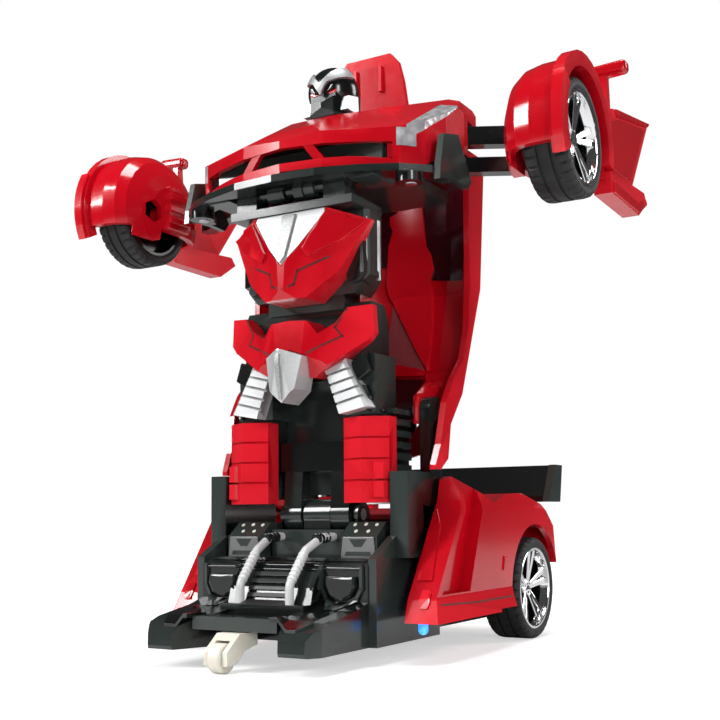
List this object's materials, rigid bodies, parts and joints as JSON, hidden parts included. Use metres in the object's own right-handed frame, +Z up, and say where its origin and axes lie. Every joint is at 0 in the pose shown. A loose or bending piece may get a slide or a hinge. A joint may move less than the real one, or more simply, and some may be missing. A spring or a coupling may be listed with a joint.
{
  "type": "transforming robot car",
  "caption": "Toy sports car that stands up as a robot, with folding body, swinging wheel arms, retracting head and rolling wheels.",
  "frame": {"origin": "on the floor, under the middle of the bounding box of the standing robot", "axes": "+Z up, -Y the way the robot faces, +X towards the viewer's right when facing the robot"},
  "size_m": [0.2032, 0.158, 0.2234],
  "materials": {
    "red_plastic": "glossy moulded red",
    "black_plastic": "glossy moulded black",
    "silver_paint": "silver paint on plastic",
    "chrome_rim": "vacuum-plated plastic",
    "tyre": "soft black rubber with tread",
    "white_nylon": "plain off-white nylon",
    "steel": "bright steel",
    "lamp_clear": "clear lens over silver reflector",
    "led_blue": "blue tinted light",
    "board_green": "circuit board",
    "motor_can": "plated can",
    "battery_wrap": "shrink-wrapped cells"
  },
  "bodies": {
    "chassis": {"chassis_tray": "black_plastic", "foot_housing": "black_plastic", "foot_lamps": "black_plastic", "light_box_left": "black_plastic", "light_box_right": "black_plastic", "leg_hoses": "silver_paint", "leg_frame_left": "black_plastic", "leg_frame_right": "black_plastic", "transform_gearbox": "black_plastic", "battery_pack": "battery_wrap", "battery_cover": "black_plastic", "drive_motor": "motor_can", "circuit_board": "board_green", "chassis_screws": "steel", "rear_quarter_left": "red_plastic", "rear_quarter_right": "red_plastic", "rear_deck": "red_plastic", "spoiler": "black_plastic", "under_lights": "led_blue"},
    "switch": {"power_switch": "black_plastic"},
    "rear_axle": {"rear_axle": "steel", "drive_gear": "white_nylon", "rear_rim_left": "chrome_rim", "rear_rim_right": "chrome_rim", "rear_tyre_left": "tyre", "rear_tyre_right": "tyre"},
    "pinion": {"motor_pinion": "white_nylon"},
    "caster_fork": {"caster_fork": "white_nylon"},
    "caster_wheel": {"caster_wheel": "white_nylon"},
    "robot_body": {"body_frame": "black_plastic", "shin_left": "red_plastic", "shin_right": "red_plastic", "thigh_left": "silver_paint", "thigh_right": "silver_paint", "hip_plate": "red_plastic", "crotch_plate": "silver_paint", "chest_plate": "red_plastic", "chest_insert": "silver_paint", "shoulder_bracket": "black_plastic", "hinge_pins": "steel"},
    "bonnet": {"bonnet_shell": "red_plastic", "splitter": "black_plastic", "headlight_left": "lamp_clear", "headlight_right": "lamp_clear", "shoulder_frame": "black_plastic"},
    "head": {"helmet": "black_plastic", "crest": "silver_paint"},
    "roof": {"roof_shell": "red_plastic"},
    "arm_upper_left": {"arm_link_upper_left": "black_plastic"},
    "arm_upper_right": {"arm_link_upper_right": "black_plastic"},
    "arm_lower_left": {"arm_link_lower_left": "black_plastic"},
    "arm_lower_right": {"arm_link_lower_right": "black_plastic"},
    "side_left": {"fender_left": "red_plastic", "door_left": "red_plastic"},
    "side_right": {"fender_right": "red_plastic", "door_right": "red_plastic"},
    "front_wheel_left": {"front_rim_left": "chrome_rim", "front_tyre_left": "tyre"},
    "front_wheel_right": {"front_rim_right": "chrome_rim", "front_tyre_right": "tyre"}
  },
  "joints": [
    {"name": "power_switch_slide", "type": "slide", "parent": "chassis", "child": "switch", "axis": [1, 0, 0], "range_m": [0, 0.003]},
    {"name": "rear_axle_spin", "type": "hinge", "parent": "chassis", "child": "rear_axle", "pos_m": [0, 0.0535, 0.019], "axis": [1, 0, 0], "continuous": true},
    {"name": "motor_pinion_spin", "type": "hinge", "parent": "chassis", "child": "pinion", "pos_m": [0, 0.0414, 0.019], "axis": [1, 0, 0], "continuous": true},
    {"name": "caster_swivel", "type": "hinge", "parent": "chassis", "child": "caster_fork", "pos_m": [0, -0.065, 0.009], "axis": [0, 0, 1], "continuous": true},
    {"name": "caster_roll", "type": "hinge", "parent": "caster_fork", "child": "caster_wheel", "pos_m": [0, -0.0745, 0.0045], "axis": [1, 0, 0], "continuous": true},
    {"name": "body_fold", "type": "hinge", "parent": "chassis", "child": "robot_body", "pos_m": [0, -0.016, 0.047], "axis": [1, 0, 0], "range_deg": [0, 18]},
    {"name": "bonnet_tilt", "type": "hinge", "parent": "robot_body", "child": "bonnet", "pos_m": [0, -0.034, 0.1575], "axis": [1, 0, 0], "range_deg": [0, 20]},
    {"name": "head_lift", "type": "slide", "parent": "bonnet", "child": "head", "axis": [0, 0, 1], "range_m": [-0.022, 0]},
    {"name": "roof_open", "type": "hinge", "parent": "chassis", "child": "roof", "pos_m": [0, -0.008, 0.082], "axis": [-1, 0, 0], "range_deg": [0, 18]},
    {"name": "arm_swing_left", "type": "hinge", "parent": "bonnet", "child": "arm_upper_left", "pos_m": [-0.041, 0.004, 0.1732], "axis": [0, 0, -1], "range_deg": [-10, 20]},
    {"name": "arm_follow_left", "type": "hinge", "parent": "bonnet", "child": "arm_lower_left", "pos_m": [-0.041, -0.003, 0.1732], "axis": [0, 0, -1], "range_deg": [-10, 20]},
    {"name": "wrist_left", "type": "hinge", "parent": "arm_upper_left", "child": "side_left", "pos_m": [-0.07544, 0.02231, 0.1732], "axis": [0, 0, -1], "range_deg": [-20, 10]},
    {"name": "front_roll_left", "type": "hinge", "parent": "side_left", "child": "front_wheel_left", "pos_m": [-0.088, -0.0122, 0.1652], "axis": [1, 0, 0], "continuous": true},
    {"name": "arm_swing_right", "type": "hinge", "parent": "bonnet", "child": "arm_upper_right", "pos_m": [0.041, 0.004, 0.1732], "axis": [0, 0, 1], "range_deg": [-10, 20]},
    {"name": "arm_follow_right", "type": "hinge", "parent": "bonnet", "child": "arm_lower_right", "pos_m": [0.041, -0.003, 0.1732], "axis": [0, 0, 1], "range_deg": [-10, 20]},
    {"name": "wrist_right", "type": "hinge", "parent": "arm_upper_right", "child": "side_right", "pos_m": [0.07544, 0.02231, 0.1732], "axis": [0, 0, 1], "range_deg": [-20, 10]},
    {"name": "front_roll_right", "type": "hinge", "parent": "side_right", "child": "front_wheel_right", "pos_m": [0.088, -0.0122, 0.1652], "axis": [1, 0, 0], "continuous": true}
  ],
  "couplings": [
    {"joint": "motor_pinion_spin", "follows": "rear_axle_spin", "ratio": -3},
    {"joint": "arm_follow_left", "follows": "arm_swing_left", "ratio": 1},
    {"joint": "wrist_left", "follows": "arm_swing_left", "ratio": -1},
    {"joint": "arm_follow_right", "follows": "arm_swing_right", "ratio": 1},
    {"joint": "wrist_right", "follows": "arm_swing_right", "ratio": -1}
  ]
}
